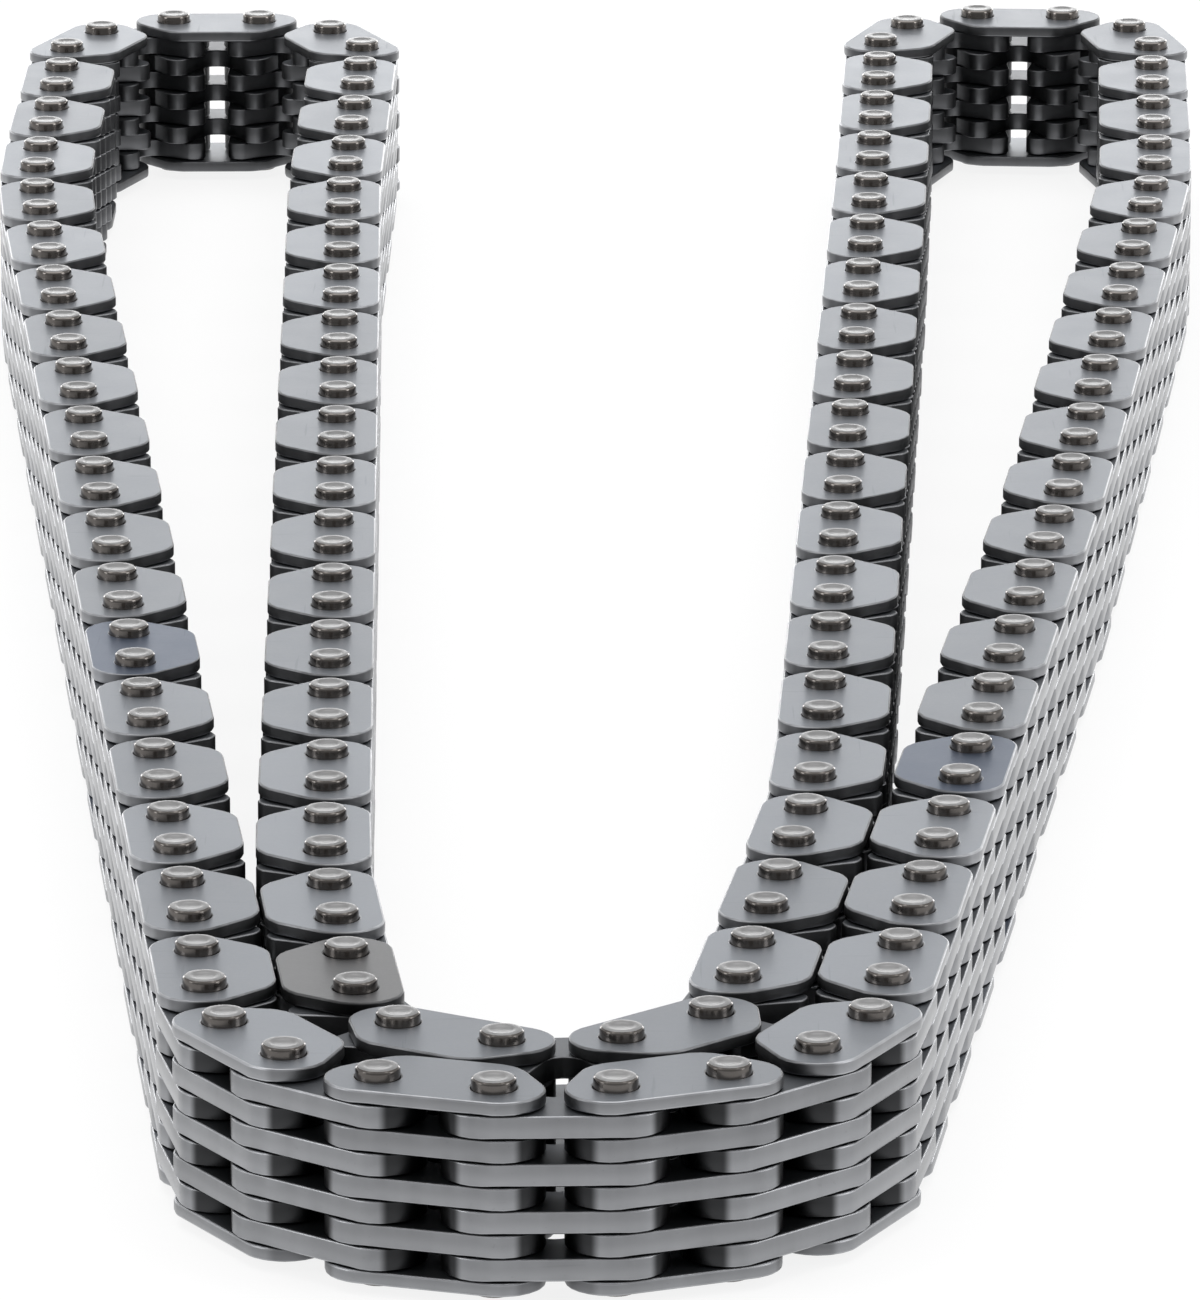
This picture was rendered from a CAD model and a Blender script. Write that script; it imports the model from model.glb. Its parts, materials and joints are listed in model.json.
"""Looks of an endless inverted-tooth timing chain, laid on edge in a U."""

import json
import math
import random

import bmesh
import bpy
import numpy as np
from mathutils import Matrix, Vector


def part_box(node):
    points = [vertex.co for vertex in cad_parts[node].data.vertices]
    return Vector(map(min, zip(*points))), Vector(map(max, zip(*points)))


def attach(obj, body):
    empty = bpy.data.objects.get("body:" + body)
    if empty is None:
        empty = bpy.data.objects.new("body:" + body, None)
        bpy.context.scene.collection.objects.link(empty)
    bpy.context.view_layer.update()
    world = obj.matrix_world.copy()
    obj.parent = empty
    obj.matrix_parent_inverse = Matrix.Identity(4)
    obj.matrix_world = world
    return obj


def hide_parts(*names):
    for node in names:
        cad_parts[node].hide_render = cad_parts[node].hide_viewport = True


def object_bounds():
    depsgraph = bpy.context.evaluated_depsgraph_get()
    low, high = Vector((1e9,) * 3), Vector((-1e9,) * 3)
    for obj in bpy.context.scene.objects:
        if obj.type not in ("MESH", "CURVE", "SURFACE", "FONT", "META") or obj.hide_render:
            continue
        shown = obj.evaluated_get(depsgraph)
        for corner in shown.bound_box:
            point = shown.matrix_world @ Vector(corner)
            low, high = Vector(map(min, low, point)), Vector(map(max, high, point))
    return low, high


bl_info = {
    "name": "Timing chain",
    "version": (1, 0, 0),
    "blender": (4, 5, 0),
    "location": "View3D > Sidebar > Timing chain",
    "description": "Finishes the plates and pins of a timing chain round its packed model",
    "category": "Object",
}

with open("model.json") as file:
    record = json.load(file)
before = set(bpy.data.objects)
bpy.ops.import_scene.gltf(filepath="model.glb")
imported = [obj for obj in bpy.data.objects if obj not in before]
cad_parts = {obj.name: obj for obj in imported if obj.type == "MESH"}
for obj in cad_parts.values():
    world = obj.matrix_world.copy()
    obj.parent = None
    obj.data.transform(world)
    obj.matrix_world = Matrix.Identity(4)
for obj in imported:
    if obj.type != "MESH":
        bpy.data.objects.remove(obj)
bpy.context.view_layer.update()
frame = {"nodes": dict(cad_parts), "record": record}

MM = 0.001
GUIDE_ENDING = "_guide_plates"
TOOTH_ENDING = "_tooth_plates"
PIN_ENDING = "_pins"
LINK_ENDING = "_guide_link"
MARKED_ENDING = "_marked_plates"

# Faces that meet more flatly than ARC_ANGLE are merged. Edges sharper than EDGE_ANGLE are
# softened, and those under SMOOTH_ANGLE are shaded smooth.
ARC_ANGLE = math.radians(9)
EDGE_ANGLE = math.radians(35)
SMOOTH_ANGLE = math.radians(25)
MERGE_DISTANCE = 1e-6

# How far an edge of a pin hole lies from the pin's axis at most
HOLE_REACH = 1.3 * MM

# A solid lower than PLATE_LIMIT is a plate, and one over this share of the height is a pin
PLATE_LIMIT = 3 * MM
PIN_SHARE = 0.9

# A face whose normal stands more upright than FLAT_TOP is a plate's flat face, and one less
# upright than STRAIGHT_WALL is its wall. Between them are the tumbled edges.
FLAT_TOP = 0.97
STRAIGHT_WALL = 0.30

# A pin's face more upright than PIN_END belongs to its end, and one more upright than PIN_CAP
# to the end's flat middle
PIN_END = 0.8
PIN_CAP = 0.99

# Rounding steps of the softened edges
GUIDE_STEPS = 2
TOOTH_STEPS = 1
PIN_STEPS = 3

# The flat rim round the dish in a pin's end, and the slope down into it
PIN_RIM = 0.28 * MM
PIN_SLOPE = 0.12 * MM

# Each kind of piece draws its tones from its own numbers
MARKED_SEED = 500
TOOTH_SEED = 1000
PIN_SEED = 2000

# Where the one guide plate of neutral grey steel lies in the inner bow
NEUTRAL_PLACE = (-0.0126, -0.1085)

# Sizes of the steel's marks, in features per metre
FLOW_SCALE = 130.0
STAIN_SCALE = 380.0
WAVE_SCALE = 700.0
SLANT_SCALE = 3800.0
GRAIN_SCALE = 4200.0
PIN_LINE_SCALE = 420.0
PIN_GRAIN_SCALE = 5200.0

# Where marks begin and end: mm across the plate, the tooth side positive, mm past the pin,
# and shares of the plate's thickness or of the noise
OILED = (-1.4, 0.4)
FLAT_BACK = (-2.58, -2.42)
EAR_END = (1.70, 2.15)
BROKEN = (0.20, 0.75)
SCRATCHED = (0.70, 0.80)
SLANT_SCRATCHED = (0.71, 0.80)

# How bright a sheared wall is beside the steel's colour, and what each mark adds or takes
WALL_SHADE = 0.80
FLOW_SHADE = 0.14
STAIN_SHADE = 0.12
SCRATCH_SHADE = 0.04
WAVE_SHADE = 0.30
BROKEN_SHADE = 0.12
OIL_SHADE = 0.36
EDGE_SHINE = 0.35
GUIDE_GAP_SHADE = 0.35
TOOTH_GAP_SHADE = 0.85
WALL_TINT = 0.7
PIN_STAIN_SHADE = 0.3
PIN_LINE_SHADE = 0.12

# Roughness, and what each mark adds to it
PLATE_ROUGH = 0.43
SHEARED_ROUGH = -0.09
BROKEN_ROUGH = 0.10
PIN_ROUGH = 0.17
PIN_END_ROUGH = 0.22
STAIN_ROUGH = 0.10
GRAIN_ROUGH = 0.05

# The rubbed backs' shine
BACK_SHINE = 0.28
BACK_SHINE_ROUGH = 0.2

# Height of the fine relief, and how much each mark shares in it
RELIEF = 0.003 * MM
GRAIN_RELIEF = 0.35
SCRATCH_RELIEF = 0.4
DRAG_RELIEF = 0.35
STAIN_RELIEF = 0.5
PIN_MARK_RELIEF = 0.5
PLATE_RELIEF_STRENGTH = 0.5
PIN_RELIEF_STRENGTH = 0.6

# Turned rings in a pin's end, in radians per mm of radius
PIN_RINGS = 42.0

# Paper of the floor
FIBRE_SCALE = 900.0
FIBRE_SHADE = 0.02
FIBRE_RELIEF = 0.02 * MM
FIBRE_RELIEF_STRENGTH = 0.2
PAPER_ROUGH = 0.8
PAPER_SHINE = 0.1
FLOOR_SIZE = 6.0
FLOOR_DROP = 0.02 * MM

# Name, place, point aimed at, width, height and power of each lamp
LAMPS = (
    ("top_light", (0.0, 0.25, 1.1), (0, 0, 0), 1.4, 1.1, 9.0),
    ("left_light", (-0.80, -0.32, 0.34), (0, 0, 0), 0.30, 0.55, 2.4),
    ("right_light", (0.80, -0.32, 0.34), (0, 0, 0), 0.30, 0.55, 2.4),
    ("back_panel", (0, 0.42, 0.05), (0, 0, 0.05), 1.3, 0.10, 1.4),
)

# Light of the room at the camera's side, and what comes on top of it behind the object,
# behind it near the floor, and overhead
ROOM_LIGHT = 0.47
ROOM_BEHIND = 0.33
ROOM_LOW = 0.24
ROOM_OVERHEAD = 0.30

# Where each of them sets in, by a direction's Y for the first and its Z for the others
BEHIND_RAMP = (-0.55, 0.75)
LOW_RAMP = (0.20, 0.40)
OVERHEAD_RAMP = (0.45, 0.95)

SENSOR_WIDTH = 36.0
CLIP_END = 20.0

NODE_BODY = {
    node: body for body, nodes in frame["record"]["behaviour"]["bodies"].items() for node in nodes
}


class ChainSizes(bpy.types.PropertyGroup):
    """Sizes of what the finish adds to the plates and pins."""

    guide_edge: bpy.props.FloatProperty(
        name="Guide plate edge",
        description="Width of the tumbled edge of a guide plate",
        default=0.12 * MM,
        subtype="DISTANCE",
    )
    tooth_edge: bpy.props.FloatProperty(
        name="Toothed plate edge",
        description="Width of the tumbled edge of a toothed plate",
        default=0.10 * MM,
        subtype="DISTANCE",
    )
    pin_edge: bpy.props.FloatProperty(
        name="Pin edge",
        description="Radius of the rounded edge of a pin's end",
        default=0.22 * MM,
        subtype="DISTANCE",
    )
    pin_dish: bpy.props.FloatProperty(
        name="Pin dish",
        description="Depth of the shallow dish in a pin's end",
        default=0.05 * MM,
        subtype="DISTANCE",
    )
    pin_sides: bpy.props.IntProperty(
        name="Pin sides",
        description="Flat faces round a pin",
        default=24,
        min=12,
    )


class ChainFinish(bpy.types.PropertyGroup):
    """Colours of the steel."""

    plate_colour: bpy.props.FloatVectorProperty(
        name="Plates",
        description="Colour of the satin steel of the plates",
        default=(0.208, 0.221, 0.242),
        subtype="COLOR",
    )
    marked_colour: bpy.props.FloatVectorProperty(
        name="Marked plates",
        description="Colour of the blued guide plates that mark a link",
        default=(0.084, 0.103, 0.141),
        subtype="COLOR",
    )
    plain_colour: bpy.props.FloatVectorProperty(
        name="Neutral plate",
        description="Colour of the one guide plate of the inner bow that isn't bluish",
        default=(0.138, 0.139, 0.142),
        subtype="COLOR",
    )
    wall_colour: bpy.props.FloatVectorProperty(
        name="Walls",
        description="Colour of the plates' blanked walls",
        default=(0.43, 0.435, 0.45),
        subtype="COLOR",
    )
    pin_colour: bpy.props.FloatVectorProperty(
        name="Pins",
        description="Colour of the pins' polished sides",
        default=(0.125, 0.115, 0.108),
        subtype="COLOR",
    )
    pin_end_colour: bpy.props.FloatVectorProperty(
        name="Pin ends",
        description="Colour of the pins' turned ends",
        default=(0.205, 0.204, 0.205),
        subtype="COLOR",
    )
    tone_spread: bpy.props.FloatProperty(
        name="Tone spread",
        description="How much lighter or darker a plate may be than the next one",
        default=0.08,
        subtype="FACTOR",
    )
    inner_face_shade: bpy.props.FloatProperty(
        name="Inner faces",
        description="How bright the toothed plates' oiled faces are beside the guide plates' faces",
        default=0.5,
        subtype="FACTOR",
    )
    across_shade: bpy.props.FloatProperty(
        name="Cross grain",
        description="How much darker the rolled grain makes a plate that lies across the arms",
        default=0.10,
        subtype="FACTOR",
    )


class ChainStage(bpy.types.PropertyGroup):
    """The camera's place, the floor and the lamps."""

    camera_place: bpy.props.FloatVectorProperty(
        name="Camera",
        description="Where the camera stands",
        default=(-0.000525, -0.66570, 0.18754),
        subtype="TRANSLATION",
    )
    camera_down: bpy.props.FloatProperty(
        name="Camera tilt",
        description="How far the camera looks down from level",
        default=math.radians(15.86),
        subtype="ANGLE",
    )
    camera_lens: bpy.props.FloatProperty(
        name="Lens",
        description="Focal length of the camera",
        default=301.1,
        unit="CAMERA",
    )
    floor_colour: bpy.props.FloatVectorProperty(
        name="Floor",
        description="Colour of the floor",
        default=(0.93, 0.93, 0.93),
        subtype="COLOR",
    )
    floor_glow: bpy.props.FloatProperty(
        name="Floor white",
        description="Share of plain white in the floor, the rest of it is lit paper",
        default=0.85,
        subtype="FACTOR",
    )


class Field:
    """A number that changes over a surface. Maths on it adds Math nodes."""

    def __init__(self, finish, socket):
        self.finish = finish
        self.socket = socket

    def maths(self, operation, *values, clamp=False):
        """A Math node on the given numbers."""
        settings = {"operation": operation, "use_clamp": clamp}
        return self.finish.node("ShaderNodeMath", settings, dict(enumerate(values)))

    def __add__(self, other):
        return self.maths("ADD", self, other)

    def __radd__(self, other):
        return self.maths("ADD", other, self)

    def __sub__(self, other):
        return self.maths("SUBTRACT", self, other)

    def __rsub__(self, other):
        return self.maths("SUBTRACT", other, self)

    def __mul__(self, other):
        return self.maths("MULTIPLY", self, other)

    def __rmul__(self, other):
        return self.maths("MULTIPLY", other, self)

    def kept(self):
        """The number held between 0 and 1."""
        return self.maths("ADD", self, 0.0, clamp=True)

    def rise(self, low, high):
        """0 below low and 1 above high, with a smooth way between."""
        settings = {"interpolation_type": "SMOOTHSTEP"}
        values = {"Value": self, "From Min": low, "From Max": high}
        return self.finish.node("ShaderNodeMapRange", settings, values, "Result")

    def swing(self, amount):
        """A noise's swing about its middle, times an amount."""
        return (self - 0.5) * amount


class Finish:
    """One node-based material or world, built by calls."""

    def __init__(self, owner):
        owner.use_nodes = True
        self.tree = owner.node_tree
        self.tree.nodes.clear()
        self.owner = owner

    def node(self, kind, settings=None, values=None, output=0):
        """Any node: its settings are set first, then its sockets. Returns one output."""
        node = self.tree.nodes.new(kind)
        for name, value in (settings or {}).items():
            setattr(node, name, value)
        for name, value in (values or {}).items():
            self.feed(node.inputs[name], value)
        return Field(self, node.outputs[output]) if node.outputs else None

    def feed(self, socket, value):
        """Links a socket to a Field, or sets it to a constant."""
        if isinstance(value, Field):
            self.tree.links.new(value.socket, socket)
        elif hasattr(socket.default_value, "__len__") and len(socket.default_value) == 4:
            socket.default_value = (*value[:3], 1)
        else:
            socket.default_value = value

    def attribute(self, name):
        return self.node("ShaderNodeAttribute", {"attribute_name": name}, output="Fac")

    def place(self, scale=(1, 1, 1), turn=0.0):
        """Object coordinates, scaled and turned about the vertical."""
        where = self.node("ShaderNodeTexCoord", output="Object")
        values = {"Vector": where, "Scale": scale, "Rotation": (0, 0, turn)}
        return self.node("ShaderNodeMapping", None, values)

    def noise(self, where, scale, detail, rough, distortion=0.0):
        values = {
            "Vector": where,
            "Scale": scale,
            "Detail": detail,
            "Roughness": rough,
            "Distortion": distortion,
        }
        return self.node("ShaderNodeTexNoise", None, values, "Fac")

    def mix(self, factor, first, second):
        """Between two colours."""
        node = self.tree.nodes.new("ShaderNodeMix")
        node.data_type = "RGBA"
        self.feed(node.inputs[0], factor)
        self.feed(node.inputs[6], first)
        self.feed(node.inputs[7], second)
        return Field(self, node.outputs[2])

    def shaded(self, colour, amount):
        """A colour times a number."""
        values = {0: colour, "Scale": amount}
        return self.node("ShaderNodeVectorMath", {"operation": "SCALE"}, values, "Vector")

    def bump(self, height, distance, strength):
        values = {"Height": height, "Distance": distance, "Strength": strength}
        return self.node("ShaderNodeBump", None, values, "Normal")

    def surface(self, colour, roughness, normal, **constants):
        """Ends a material in a Principled surface."""
        values = {"Base Color": colour, "Roughness": roughness, "Normal": normal, **constants}
        shader = self.node("ShaderNodeBsdfPrincipled", None, values, "BSDF")
        self.node("ShaderNodeOutputMaterial", None, {"Surface": shader})
        return self.owner


def steel_plate(name, colour, gap_shade, face_shade=1.0, neutral=None):
    """Tumbled strip steel: satin faces, blanked walls, bright backs and dull tooth flanks."""
    look = bpy.context.scene.chain_finish
    f = Finish(bpy.data.materials.new(name))
    tone = f.attribute("tone")
    wall = f.attribute("wall")
    across = f.attribute("across")
    height = f.attribute("height")
    past_pin = f.attribute("past_pin")
    lies_across = f.attribute("lies_across")
    worn_edge = f.attribute("worn_edge")

    flow = f.noise(f.place(), FLOW_SCALE, detail=3.0, rough=0.5)
    stain = f.noise(f.place(), STAIN_SCALE, detail=3.0, rough=0.5, distortion=0.3)
    grain = f.noise(f.place(), GRAIN_SCALE, detail=2.0, rough=0.6)
    scratch_a = f.noise(f.place((0.05, 1, 1), 0.4), GRAIN_SCALE, detail=1.0, rough=0.5)
    scratch_b = f.noise(f.place((1, 0.04, 1), -0.7), SLANT_SCALE, detail=1.0, rough=0.5)
    scratches = (scratch_a.rise(*SCRATCHED) + scratch_b.rise(*SLANT_SCRATCHED)).kept()

    # A blanked wall is smooth where the punch sheared it and duller where it broke away
    wave = f.noise(f.place((1, 1, 0.2)), WAVE_SCALE, detail=2.0, rough=0.5)
    broken = (height + wave.swing(0.5)).rise(*BROKEN)
    drag = f.noise(f.place((1, 1, 0.04)), GRAIN_SCALE, detail=2.0, rough=0.6)

    # The tooth side keeps its dark oil film, and the back is rubbed clean by the rails
    oiled = across.rise(*OILED)
    flat_back = 1 - across.rise(*FLAT_BACK)
    top_shade = 1 + tone * look.tone_spread + flow.swing(FLOW_SHADE) + stain.swing(STAIN_SHADE)
    top_shade = top_shade - lies_across * look.across_shade - scratches * SCRATCH_SHADE
    wall_shade = WALL_SHADE - broken * BROKEN_SHADE + wave.swing(WAVE_SHADE) - oiled * OIL_SHADE

    # Little light reaches the ends of the ears, between a plate and the next one in its row
    wall_shade = wall_shade * (1 - past_pin.rise(*EAR_END) * gap_shade)
    shade = top_shade * (face_shade + wall * (wall_shade - face_shade))
    shade = shade * (1 + worn_edge * EDGE_SHINE)
    base = f.mix(wall * WALL_TINT, colour, tuple(look.wall_colour))
    if neutral:
        base = f.mix(f.attribute("neutral"), base, neutral)
    base = f.shaded(base, shade)

    rough = PLATE_ROUGH + stain.swing(STAIN_ROUGH) + grain.swing(GRAIN_ROUGH)
    rough = rough + scratches * GRAIN_ROUGH
    rough = rough + wall * (broken * BROKEN_ROUGH + SHEARED_ROUGH)
    relief = grain * GRAIN_RELIEF - scratches * SCRATCH_RELIEF
    relief = relief + drag * wall * DRAG_RELIEF + stain * STAIN_RELIEF
    normal = f.bump(relief, RELIEF, PLATE_RELIEF_STRENGTH)
    film = {"Coat Weight": wall * flat_back * BACK_SHINE, "Coat Roughness": BACK_SHINE_ROUGH}
    return f.surface(base, rough, normal, Metallic=1.0, **film)


def polished_pin(name):
    """Ground, dark pin with a lighter, turned end."""
    look = bpy.context.scene.chain_finish
    f = Finish(bpy.data.materials.new(name))
    tone = f.attribute("tone")
    radius = f.attribute("radius")
    end = f.attribute("end")
    stain = f.noise(f.place(), WAVE_SCALE, detail=3.0, rough=0.6, distortion=0.5)
    grain = f.noise(f.place(), PIN_GRAIN_SCALE, detail=2.0, rough=0.6)
    lines = f.noise(f.place((1, 1, 14)), PIN_LINE_SCALE, detail=2.0, rough=0.6)
    rings = radius.maths("SINE", radius * PIN_RINGS)

    base = f.mix(end, tuple(look.pin_colour), tuple(look.pin_end_colour))
    shade = 1 + tone * look.tone_spread + stain.swing(PIN_STAIN_SHADE)
    shade = shade + lines.swing(PIN_LINE_SHADE) * (1 - end)
    rough = PIN_ROUGH + end * PIN_END_ROUGH + stain.swing(STAIN_ROUGH) + grain.swing(GRAIN_ROUGH)
    relief = rings * end * PIN_MARK_RELIEF + grain * PIN_MARK_RELIEF + lines * (1 - end)
    normal = f.bump(relief, RELIEF, PIN_RELIEF_STRENGTH)
    return f.surface(f.shaded(base, shade), rough, normal, Metallic=1.0)


def paper_floor(name):
    """Plain white paper that keeps the chain's soft shadow, seen straight on or in the steel."""
    look = bpy.context.scene.chain_stage
    f = Finish(bpy.data.materials.new(name))
    fibre = f.noise(f.place(), FIBRE_SCALE, detail=3.0, rough=0.6)
    shade = 1 + fibre.swing(FIBRE_SHADE)
    normal = f.bump(fibre, FIBRE_RELIEF, FIBRE_RELIEF_STRENGTH)
    base = f.shaded(tuple(look.floor_colour), shade)
    values = {
        "Base Color": base,
        "Roughness": PAPER_ROUGH,
        "Normal": normal,
        "Specular IOR Level": PAPER_SHINE,
    }
    paper = f.node("ShaderNodeBsdfPrincipled", None, values, "BSDF")
    glow = f.node("ShaderNodeEmission", None, {"Color": (1.0, 1.0, 1.0), "Strength": 1.0})
    seen = f.node("ShaderNodeLightPath", output="Is Camera Ray")
    mirrored = Field(f, seen.socket.node.outputs["Is Glossy Ray"])
    through = Field(f, seen.socket.node.outputs["Is Transmission Ray"])
    share = (seen + mirrored + through).kept() * look.floor_glow
    mixed = f.node("ShaderNodeMixShader", None, {0: share, 1: paper, 2: glow})
    f.node("ShaderNodeOutputMaterial", None, {"Surface": mixed})
    return f.owner


def only(piece):
    """Selects one object and makes it the active one."""
    bpy.ops.object.select_all(action="DESELECT")
    piece.select_set(True)
    bpy.context.view_layer.objects.active = piece


def cad_copy(node, name):
    """An object with a copy of a CAD node's mesh, its loose triangles merged to flat faces."""
    piece = bpy.data.objects.new(name, frame["nodes"][node].data.copy())
    bpy.context.scene.collection.objects.link(piece)
    piece.data.name = name
    piece.data.materials.clear()
    only(piece)
    bpy.ops.mesh.customdata_custom_splitnormals_clear()
    bpy.ops.object.mode_set(mode="EDIT")
    bpy.ops.mesh.select_all(action="SELECT")
    bpy.ops.mesh.remove_doubles(threshold=MERGE_DISTANCE)
    bpy.ops.mesh.dissolve_limited(angle_limit=ARC_ANGLE)
    bpy.ops.object.mode_set(mode="OBJECT")
    return piece


def islands(mesh):
    """For each vertex, the lowest vertex of the connected solid that it belongs to."""
    edges = np.zeros(len(mesh.edges) * 2, int)
    mesh.edges.foreach_get("vertices", edges)
    edges = edges.reshape(-1, 2)
    label = np.arange(len(mesh.vertices))
    while True:
        low = label[edges].min(axis=1)
        new = label.copy()
        np.minimum.at(new, edges[:, 0], low)
        np.minimum.at(new, edges[:, 1], low)
        new = new[new]
        if (new == label).all():
            return label
        label = new


def points(mesh):
    """The places of a mesh's vertices, as rows."""
    place = np.zeros(len(mesh.vertices) * 3)
    mesh.vertices.foreach_get("co", place)
    return place.reshape(-1, 3)


def chain_pins():
    """The pins' axes in the order in which the chain runs, its inside on the left."""
    axes = []
    for node, item in frame["nodes"].items():
        if not node.endswith((PIN_ENDING, LINK_ENDING)):
            continue
        mesh = bpy.data.meshes.new_from_object(item)
        grown = bmesh.new()
        grown.from_mesh(mesh)
        bmesh.ops.remove_doubles(grown, verts=grown.verts, dist=MERGE_DISTANCE)
        grown.to_mesh(mesh)
        grown.free()
        place, label = points(mesh), islands(mesh)
        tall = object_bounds()[1].z * PIN_SHARE
        for one in np.unique(label):
            solid = place[label == one]
            if np.ptp(solid[:, 2]) > tall:
                axes.append((solid.min(axis=0) + solid.max(axis=0))[:2] / 2)
        bpy.data.meshes.remove(mesh)
    axes = np.array(axes)
    order = [0]
    left = set(range(1, len(axes)))
    while left:
        here = axes[order[-1]]
        nearest = min(left, key=lambda i: ((axes[i] - here) ** 2).sum())
        order.append(nearest)
        left.remove(nearest)
    axes = axes[order]
    after = np.roll(axes, -1, axis=0)
    area = (axes[:, 0] * after[:, 1] - after[:, 0] * axes[:, 1]).sum()
    return axes if area > 0 else axes[::-1]


PINS = chain_pins()
LINK_ENDS = np.roll(PINS, -1, axis=0)
LINK_MIDDLES = (PINS + LINK_ENDS) / 2
HALF_LINK = np.linalg.norm(LINK_ENDS[0] - PINS[0]) / 2


def link_frame(middle):
    """The link whose plate lies at that place: its middle, its way along and its way across."""
    link = int(((LINK_MIDDLES - middle) ** 2).sum(axis=1).argmin())
    along = LINK_ENDS[link] - PINS[link]
    along = along / np.linalg.norm(along)
    return link, LINK_MIDDLES[link], along, np.array([-along[1], along[0]])


def write_number(mesh, name, values, domain="POINT"):
    """Gives each point or face of a mesh a number that a material can read."""
    layer = mesh.attributes.new(name, "FLOAT", domain)
    layer.data.foreach_set("value", np.asarray(values, np.float32))


def weigh_edges(piece, outline_only):
    """Marks the edges that tumbling has softened, without the holes' where the pins hide them."""
    grown = bmesh.new()
    grown.from_mesh(piece.data)
    layer = grown.edges.layers.float.new("bevel_weight_edge")
    for edge in grown.edges:
        if not edge.is_manifold or edge.calc_face_angle() < EDGE_ANGLE:
            continue
        if outline_only:
            middle = (edge.verts[0].co + edge.verts[1].co) / 2
            near = np.hypot(PINS[:, 0] - middle.x, PINS[:, 1] - middle.y).min()
            if near < HOLE_REACH:
                continue
        edge[layer] = 1.0
    grown.to_mesh(piece.data)
    grown.free()


def soften(piece, width, steps):
    """Rounds the marked edges."""
    only(piece)
    bevel = piece.modifiers.new("Tumbled edge", "BEVEL")
    bevel.limit_method = "WEIGHT"
    bevel.width = width
    bevel.segments = steps
    bevel.harden_normals = True
    bpy.ops.object.modifier_apply(modifier=bevel.name)


def measure_plates(piece, seed):
    """Writes where each point lies on its own plate, and a tone for each plate."""
    mesh = piece.data
    place, label = points(mesh), islands(mesh)
    draw = random.Random(seed)
    tone = np.zeros(len(place))
    across = np.zeros(len(place))
    height = np.zeros(len(place))
    lies_across = np.zeros(len(place))
    past_pin = np.zeros(len(place))
    for one in np.unique(label):
        mine = label == one
        solid = place[mine]
        low, high = solid.min(axis=0), solid.max(axis=0)
        _, middle, along, side = link_frame((low + high)[:2] / 2)
        tone[mine] = draw.uniform(-1, 1)
        lies_across[mine] = along[0] ** 2
        across[mine] = (solid[:, :2] - middle) @ side / MM
        past_pin[mine] = (np.abs((solid[:, :2] - middle) @ along) - HALF_LINK) / MM
        height[mine] = (solid[:, 2] - low[2]) / (high[2] - low[2])
    write_number(mesh, "tone", tone)
    write_number(mesh, "across", across)
    write_number(mesh, "height", height)
    write_number(mesh, "lies_across", lies_across)
    write_number(mesh, "past_pin", past_pin)
    normals = np.zeros(len(mesh.polygons) * 3)
    mesh.polygons.foreach_get("normal", normals)
    upright = np.abs(normals.reshape(-1, 3)[:, 2])
    write_number(mesh, "wall", (upright < FLAT_TOP).astype(float), "FACE")
    slanted = (upright > STRAIGHT_WALL) & (upright < FLAT_TOP)
    write_number(mesh, "worn_edge", slanted.astype(float), "FACE")


def keep_part(piece, wanted):
    """Deletes the connected solids for which wanted says no."""
    place, label = points(piece.data), islands(piece.data)
    grown = bmesh.new()
    grown.from_mesh(piece.data)
    grown.verts.ensure_lookup_table()
    gone = []
    for one in np.unique(label):
        mine = np.flatnonzero(label == one)
        if not wanted(place[mine]):
            gone += [grown.verts[i] for i in mine]
    bmesh.ops.delete(grown, geom=gone, context="VERTS")
    grown.to_mesh(piece.data)
    grown.free()


def is_plate(solid):
    """Whether the points of one solid belong to a plate, and not to a pin."""
    return np.ptp(solid[:, 2]) < PLATE_LIMIT


def finish_piece(piece, node, material):
    """Gives a piece its material and its place in the frame."""
    piece.data.materials.append(material)
    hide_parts(node)
    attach(piece, NODE_BODY[node])


def plate_piece(node, name, material, edge, seed):
    """The plates of one node. The edge is its width, its steps and whether holes are left out."""
    width, steps, outline_only = edge
    piece = cad_copy(node, name)
    if node.endswith(LINK_ENDING):
        keep_part(piece, is_plate)
    weigh_edges(piece, outline_only)
    bpy.ops.object.shade_smooth_by_angle(angle=SMOOTH_ANGLE)
    soften(piece, width, steps)
    measure_plates(piece, seed)
    finish_piece(piece, node, material)
    return piece


def nodes_ending(*endings):
    """The nodes whose names end like that, in a fixed order."""
    return [node for node in sorted(frame["nodes"]) if node.endswith(endings)]


def mark_neutral(piece, link):
    """Writes 1 on the plates of one link, whose steel is less blue than the others'."""
    place, label = points(piece.data), islands(piece.data)
    value = np.zeros(len(place))
    for one in np.unique(label):
        mine = label == one
        middle = (place[mine].min(axis=0) + place[mine].max(axis=0))[:2] / 2
        if link_frame(middle)[0] == link:
            value[mine] = 1.0
    write_number(piece.data, "neutral", value)


class CHAIN_OT_guide_plates(bpy.types.Operator):
    """Finishes the guide plates, the outer plates without teeth"""

    bl_idname = "chain.guide_plates"
    bl_label = "Guide plates"

    def execute(self, context):
        sizes = context.scene.chain_sizes
        look = context.scene.chain_finish
        colour, plain = tuple(look.plate_colour), tuple(look.plain_colour)
        steel = steel_plate("guide_plate_steel", colour, GUIDE_GAP_SHADE, neutral=plain)
        neutral_link = link_frame(np.array(NEUTRAL_PLACE))[0]
        for seed, node in enumerate(nodes_ending(GUIDE_ENDING, LINK_ENDING)):
            name = node.replace(LINK_ENDING, GUIDE_ENDING) + "_steel"
            edge = (sizes.guide_edge, GUIDE_STEPS, False)
            piece = plate_piece(node, name, steel, edge, seed)
            mark_neutral(piece, neutral_link)
        return {"FINISHED"}


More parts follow.
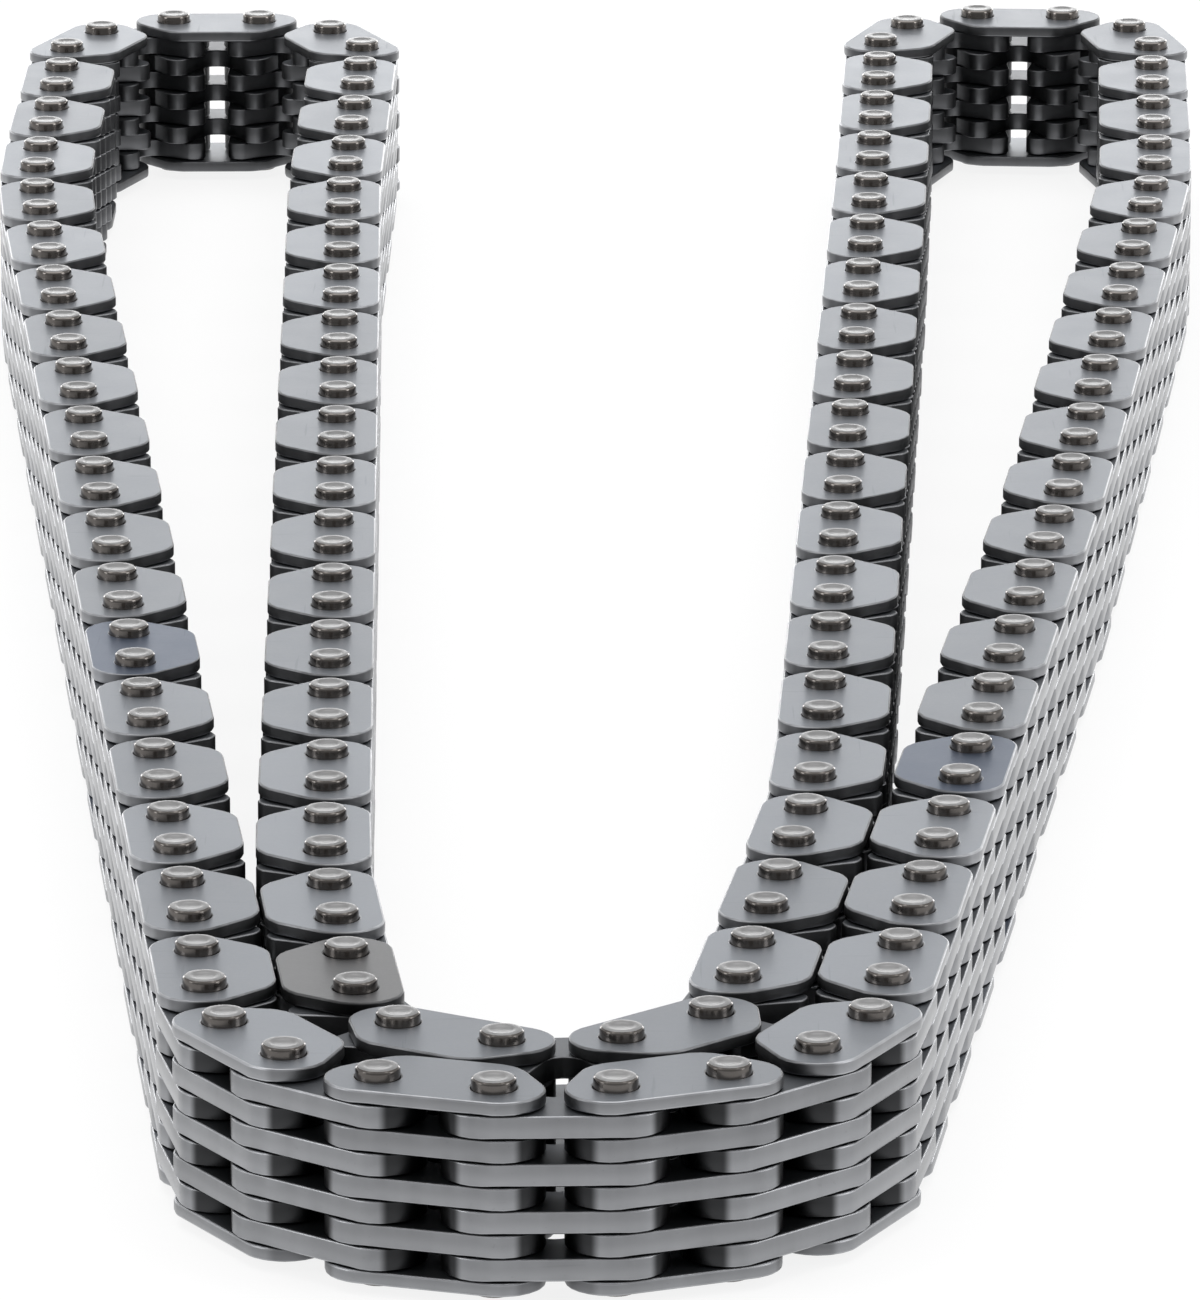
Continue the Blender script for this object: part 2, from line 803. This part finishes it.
class CHAIN_OT_marked_plates(bpy.types.Operator):
    """Finishes the two blued guide plates that mark a link in each arm"""

    bl_idname = "chain.marked_plates"
    bl_label = "Marked plates"

    def execute(self, context):
        sizes = context.scene.chain_sizes
        look = context.scene.chain_finish
        colour = tuple(look.marked_colour)
        steel = steel_plate("marked_plate_steel", colour, GUIDE_GAP_SHADE)
        for seed, node in enumerate(nodes_ending(MARKED_ENDING)):
            edge = (sizes.guide_edge, GUIDE_STEPS, False)
            plate_piece(node, node + "_steel", steel, edge, MARKED_SEED + seed)
        return {"FINISHED"}


class CHAIN_OT_tooth_plates(bpy.types.Operator):
    """Finishes the toothed plates of all rows"""

    bl_idname = "chain.tooth_plates"
    bl_label = "Toothed plates"

    def execute(self, context):
        sizes = context.scene.chain_sizes
        look = context.scene.chain_finish
        colour, faces = tuple(look.plate_colour), look.inner_face_shade
        steel = steel_plate("tooth_plate_steel", colour, TOOTH_GAP_SHADE, faces)
        for seed, node in enumerate(nodes_ending(TOOTH_ENDING)):
            edge = (sizes.tooth_edge, TOOTH_STEPS, True)
            plate_piece(node, node + "_steel", steel, edge, TOOTH_SEED + seed)
        return {"FINISHED"}


def model_pin(low, high, radius):
    """One pin between two heights: rounded edges and a shallow dish in each end."""
    sizes = bpy.context.scene.chain_sizes
    bpy.ops.object.select_all(action="DESELECT")
    bpy.ops.mesh.primitive_cylinder_add(
        vertices=sizes.pin_sides,
        radius=radius,
        depth=high - low,
        location=(0, 0, (low + high) / 2),
    )
    pin = bpy.context.object
    bpy.ops.object.transform_apply(location=True, rotation=True, scale=True)
    bpy.ops.object.mode_set(mode="EDIT")
    bpy.ops.mesh.select_mode(type="FACE")
    grown = bmesh.from_edit_mesh(pin.data)
    for face in grown.faces:
        face.select_set(abs(face.normal.z) > PIN_END)
    bmesh.update_edit_mesh(pin.data)
    bpy.ops.mesh.region_to_loop()
    bpy.ops.mesh.bevel(offset=sizes.pin_edge, segments=PIN_STEPS, affect="EDGES")
    bpy.ops.mesh.select_mode(type="FACE")
    for sign in (-1, 1):
        bpy.ops.mesh.select_all(action="DESELECT")
        grown = bmesh.from_edit_mesh(pin.data)
        for face in grown.faces:
            face.select_set(face.normal.z * sign > PIN_CAP)
        bmesh.update_edit_mesh(pin.data)
        bpy.ops.mesh.inset(thickness=PIN_RIM, depth=0)
        bpy.ops.mesh.inset(thickness=PIN_SLOPE, depth=-sizes.pin_dish)
    bpy.ops.object.mode_set(mode="OBJECT")
    return pin


def measure_pins(piece, seed):
    """Writes how far each point lies from its pin's axis, and a tone for each pin."""
    mesh = piece.data
    place, label = points(mesh), islands(mesh)
    draw = random.Random(seed)
    tone = np.zeros(len(place))
    radius = np.zeros(len(place))
    for one in np.unique(label):
        mine = label == one
        middle = (place[mine].min(axis=0) + place[mine].max(axis=0))[:2] / 2
        tone[mine] = draw.uniform(-1, 1)
        radius[mine] = np.hypot(*(place[mine][:, :2] - middle).T) / MM
    write_number(mesh, "tone", tone)
    write_number(mesh, "radius", radius)
    normals = np.zeros(len(mesh.polygons) * 3)
    mesh.polygons.foreach_get("normal", normals)
    upright = np.abs(normals.reshape(-1, 3)[:, 2])
    write_number(mesh, "end", (upright > PIN_END).astype(float), "FACE")


class CHAIN_OT_pins(bpy.types.Operator):
    """Models the pins and puts one on each axis"""

    bl_idname = "chain.pins"
    bl_label = "Pins"

    def execute(self, context):
        steel = polished_pin("pin_steel")
        low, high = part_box(nodes_ending(PIN_ENDING)[0])
        pattern = None
        for seed, node in enumerate(nodes_ending(PIN_ENDING, LINK_ENDING)):
            source = cad_copy(node, "source")
            keep_part(source, lambda solid: not is_plate(solid))
            place, label = points(source.data), islands(source.data)
            copies = []
            for one in np.unique(label):
                solid = place[label == one]
                corner, other = solid.min(axis=0), solid.max(axis=0)
                if pattern is None:
                    pattern = model_pin(low.z, high.z, (other[0] - corner[0]) / 2)
                copy = bpy.data.objects.new("pin", pattern.data.copy())
                context.scene.collection.objects.link(copy)
                middle = (corner + other) / 2
                copy.data.transform(Matrix.Translation((middle[0], middle[1], 0)))
                copies.append(copy)
            bpy.data.objects.remove(source)
            bpy.ops.object.select_all(action="DESELECT")
            for copy in copies:
                copy.select_set(True)
            context.view_layer.objects.active = copies[0]
            bpy.ops.object.join()
            piece = context.object
            piece.name = node.replace(LINK_ENDING, PIN_ENDING) + "_steel"
            only(piece)
            bpy.ops.object.shade_smooth_by_angle(angle=SMOOTH_ANGLE)
            measure_pins(piece, PIN_SEED + seed)
            finish_piece(piece, node, steel)
        bpy.data.objects.remove(pattern)
        return {"FINISHED"}


def soft_lamp(name, place, aim, width, height, power):
    """An area lamp that looks at a point."""
    data = bpy.data.lights.new(name, "AREA")
    data.shape = "RECTANGLE"
    data.size = width
    data.size_y = height
    data.energy = power
    lamp = bpy.data.objects.new(name, data)
    lamp.location = place
    lamp.rotation_euler = (Vector(aim) - Vector(place)).to_track_quat("-Z", "Y").to_euler()
    bpy.context.scene.collection.objects.link(lamp)
    return lamp


def studio_world():
    """A pale room: brighter behind the object, darker where the camera stands."""
    world = bpy.data.worlds.new("studio")
    bpy.context.scene.world = world
    f = Finish(world)
    heading = f.node("ShaderNodeTexCoord", output="Generated")
    parts = f.node("ShaderNodeSeparateXYZ", None, {0: heading}, "Y")
    up = Field(f, parts.socket.node.outputs["Z"])
    behind = parts.rise(*BEHIND_RAMP)
    low = 1 - up.rise(*LOW_RAMP)
    overhead = up.rise(*OVERHEAD_RAMP)
    level = ROOM_LIGHT + behind * (ROOM_BEHIND + ROOM_LOW * low) + overhead * ROOM_OVERHEAD
    background = f.node("ShaderNodeBackground", None, {"Strength": level}, "Background")
    f.feed(background.socket.node.inputs["Color"], (1.0, 1.0, 1.0))
    f.node("ShaderNodeOutputWorld", None, {"Surface": background})


class CHAIN_OT_stage(bpy.types.Operator):
    """Adds the floor, the lamps, the room and the camera"""

    bl_idname = "chain.stage"
    bl_label = "Stage"

    def execute(self, context):
        scene = context.scene
        look = scene.chain_stage
        bpy.ops.object.select_all(action="DESELECT")
        bpy.ops.mesh.primitive_plane_add(size=FLOOR_SIZE, location=(0, 0, -FLOOR_DROP))
        floor = context.object
        floor.name = "floor"
        bpy.ops.object.transform_apply(location=True, rotation=True, scale=True)
        floor.data.materials.append(paper_floor("floor_paper"))

        lamps = {lamp[0]: soft_lamp(*lamp) for lamp in LAMPS}
        lamps["back_panel"].visible_camera = False
        studio_world()

        data = bpy.data.cameras.new("camera")
        data.lens = look.camera_lens
        data.sensor_width = SENSOR_WIDTH
        data.clip_end = CLIP_END
        camera = bpy.data.objects.new("camera", data)
        camera.location = look.camera_place
        camera.rotation_euler = (math.pi / 2 - look.camera_down, 0, 0)
        scene.collection.objects.link(camera)
        scene.camera = camera
        scene.view_settings.view_transform = "Standard"
        return {"FINISHED"}


class CHAIN_PT_panel(bpy.types.Panel):
    """Lists the steps that finish the chain"""

    bl_idname = "CHAIN_PT_panel"
    bl_label = "Timing chain"
    bl_space_type = "VIEW_3D"
    bl_region_type = "UI"
    bl_category = "Timing chain"

    def draw(self, context):
        for group in ("chain_sizes", "chain_finish", "chain_stage"):
            box = self.layout.box()
            values = getattr(context.scene, group)
            for name in values.bl_rna.properties.keys():
                if name not in ("rna_type", "name"):
                    box.prop(values, name)
        for operator in OPERATORS:
            self.layout.operator(operator.bl_idname)


OPERATORS = (
    CHAIN_OT_guide_plates,
    CHAIN_OT_marked_plates,
    CHAIN_OT_tooth_plates,
    CHAIN_OT_pins,
    CHAIN_OT_stage,
)
GROUPS = {"chain_sizes": ChainSizes, "chain_finish": ChainFinish, "chain_stage": ChainStage}


def register():
    for item in (*GROUPS.values(), *OPERATORS, CHAIN_PT_panel):
        bpy.utils.register_class(item)
    for name, group in GROUPS.items():
        setattr(bpy.types.Scene, name, bpy.props.PointerProperty(type=group))


def unregister():
    for name in GROUPS:
        delattr(bpy.types.Scene, name)
    for item in (CHAIN_PT_panel, *reversed(OPERATORS), *reversed(GROUPS.values())):
        bpy.utils.unregister_class(item)


def main():
    register()
    bpy.ops.chain.guide_plates()
    bpy.ops.chain.marked_plates()
    bpy.ops.chain.tooth_plates()
    bpy.ops.chain.pins()
    bpy.ops.chain.stage()


if __name__ == "__main__":
    main()
